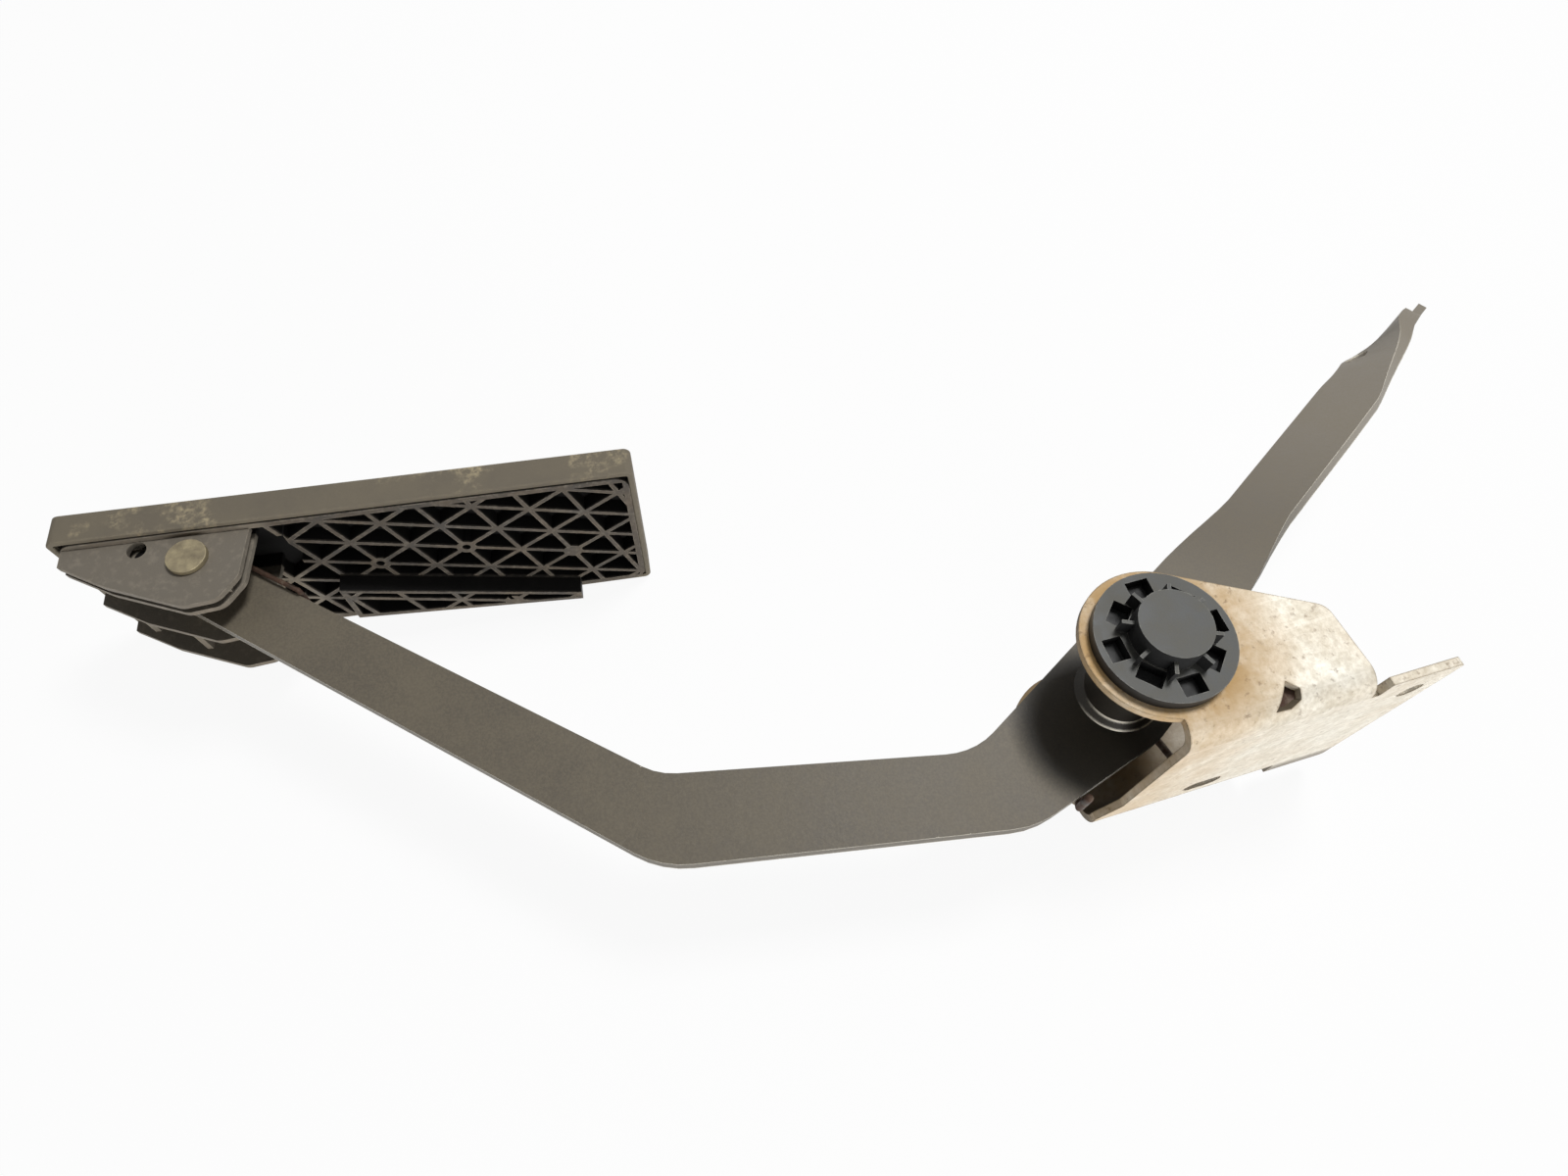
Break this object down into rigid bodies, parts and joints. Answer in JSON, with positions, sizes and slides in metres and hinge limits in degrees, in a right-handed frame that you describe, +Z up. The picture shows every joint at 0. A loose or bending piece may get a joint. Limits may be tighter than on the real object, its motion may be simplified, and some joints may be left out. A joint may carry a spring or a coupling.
{
  "type": "accelerator pedal",
  "caption": "Hanging accelerator pedal: folded wall bracket, plastic pivot bush, cranked strip arm with a twisted cable lever, and a hinged rubber-faced ribbed pad.",
  "frame": {"origin": "on the outer face of the bracket's web, midway between its round hole and its slotted hole", "axes": "+X out of the web towards the bulkhead, +Y along the pivot away from the ribbed cap, +Z up the web"},
  "size_m": [0.1722, 0.0967, 0.5045],
  "materials": {
    "zinc_steel": "passivated zinc, stained",
    "black_plastic": "moulded, matt",
    "black_paint": "satin, worn",
    "pad_plastic": "glass-filled, dusty",
    "pad_rubber": "worn",
    "plain_steel": "dull",
    "spring_steel": "lightly rusted",
    "bush_plastic": "moulded"
  },
  "bodies": {
    "bracket": {"mounting_bracket": "zinc_steel", "near_bush": "black_plastic", "far_bush": "black_plastic", "return_spring": "spring_steel"},
    "arm": {"pedal_arm": "black_paint", "hub_tube": "black_paint", "near_weld": "black_paint", "far_weld": "black_paint", "pin_bush": "bush_plastic"},
    "pad": {"pad_body": "pad_plastic", "pad_cover": "pad_rubber", "pad_pin": "plain_steel", "pin_clip": "plain_steel", "pad_spacer": "plain_steel", "pad_spring": "spring_steel"}
  },
  "joints": [
    {"name": "pedal_hinge", "type": "hinge", "parent": "bracket", "child": "arm", "pos_m": [-0.03, 0, -0.0478], "axis": [0, -1, 0], "range_deg": [0, 18], "stiffness_Nm_per_rad": 2.2, "springref_deg": -14.32, "deforming": ["return_spring"]},
    {"name": "pad_hinge", "type": "hinge", "parent": "arm", "child": "pad", "pos_m": [-0.1465, 0, -0.3125], "axis": [0, -1, 0], "range_deg": [-10, 8], "stiffness_Nm_per_rad": 0.4, "deforming": ["pad_spring"]}
  ]
}
